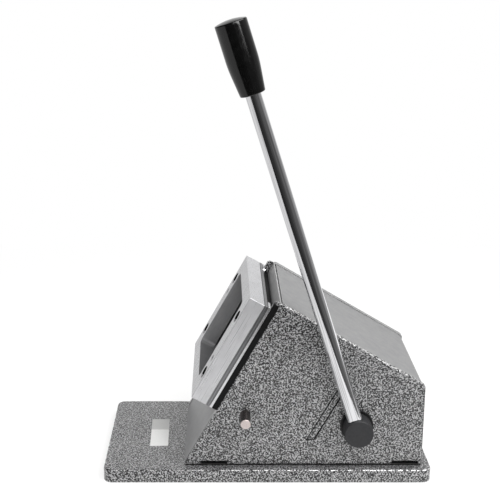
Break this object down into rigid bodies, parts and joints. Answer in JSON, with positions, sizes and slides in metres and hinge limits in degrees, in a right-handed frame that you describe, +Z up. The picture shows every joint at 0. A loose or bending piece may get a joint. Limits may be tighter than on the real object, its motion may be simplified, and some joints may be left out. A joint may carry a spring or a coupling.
{
  "type": "card corner die cutter",
  "caption": "Desk die cutter for cards: a leaning steel die head on a painted body with a slot behind it, and a side lever whose cam drives the punch through the die.",
  "frame": {"origin": "middle of the base plate's underside, where it rests on the desk", "axes": "+X towards the rear of the machine, away from the die head; -Y is the side with the lever; +Z up"},
  "size_m": [0.28, 0.1573, 0.3899],
  "materials": {
    "hammertone": "grey hammertone enamel, semi-gloss, with a fine dark and light grain",
    "panel_paint": "smooth grey enamel, semi-matt",
    "ground_steel": "surface ground, satin",
    "die_steel": "hardened and ground, darker than the block",
    "plain_steel": "turned and milled, lightly oiled",
    "bare_steel": "bare turned pin, slightly warm in tone",
    "black_oxide": "black oxide, satin",
    "dark_hub": "dark phosphated steel, matt",
    "chrome": "polished",
    "black_plastic": "glossy black moulding"
  },
  "bodies": {
    "body": {"base_plate": "hammertone", "side_plate_near": "hammertone", "side_plate_far": "hammertone", "cross_plate": "hammertone", "front_plate": "panel_paint", "cover": "panel_paint", "die_block": "ground_steel", "die_plate": "die_steel", "stripper_plate": "black_oxide", "slot_cheek_near": "hammertone", "slot_cheek_far": "hammertone", "feed_guide": "ground_steel", "cap_screw_1": "black_oxide", "cap_screw_2": "black_oxide", "cap_screw_3": "black_oxide", "cap_screw_4": "black_oxide", "dowel_1": "die_steel", "dowel_2": "die_steel", "guide_post_1": "die_steel", "guide_post_2": "die_steel", "guide_post_3": "die_steel", "guide_post_4": "die_steel", "shaft_bush_near": "dark_hub", "shaft_bush_far": "dark_hub", "stop_pin": "bare_steel"},
    "lever": {"lever_hub": "dark_hub", "lever_rod": "chrome", "lever_knob": "black_plastic", "lever_shaft": "plain_steel", "shaft_collar": "dark_hub", "cam": "die_steel"},
    "ram": {"punch": "die_steel", "ram_plate": "plain_steel", "ram_stem": "plain_steel", "cam_roller": "die_steel", "roller_pin": "die_steel"}
  },
  "joints": [
    {"name": "lever_swing", "type": "hinge", "parent": "body", "child": "lever", "pos_m": [0.07562, 0, 0.04998], "axis": [0, -1, 0], "range_deg": [0, 60], "stiffness_Nm_per_rad": 1.2, "springref_deg": -51.57},
    {"name": "punch_slide", "type": "slide", "parent": "body", "child": "ram", "axis": [-0.8746, 0, 0.4848], "range_m": [0, 0.009]}
  ],
  "couplings": [
    {"joint": "punch_slide", "follows": "lever_swing", "m_per_rad": 0.008594}
  ]
}
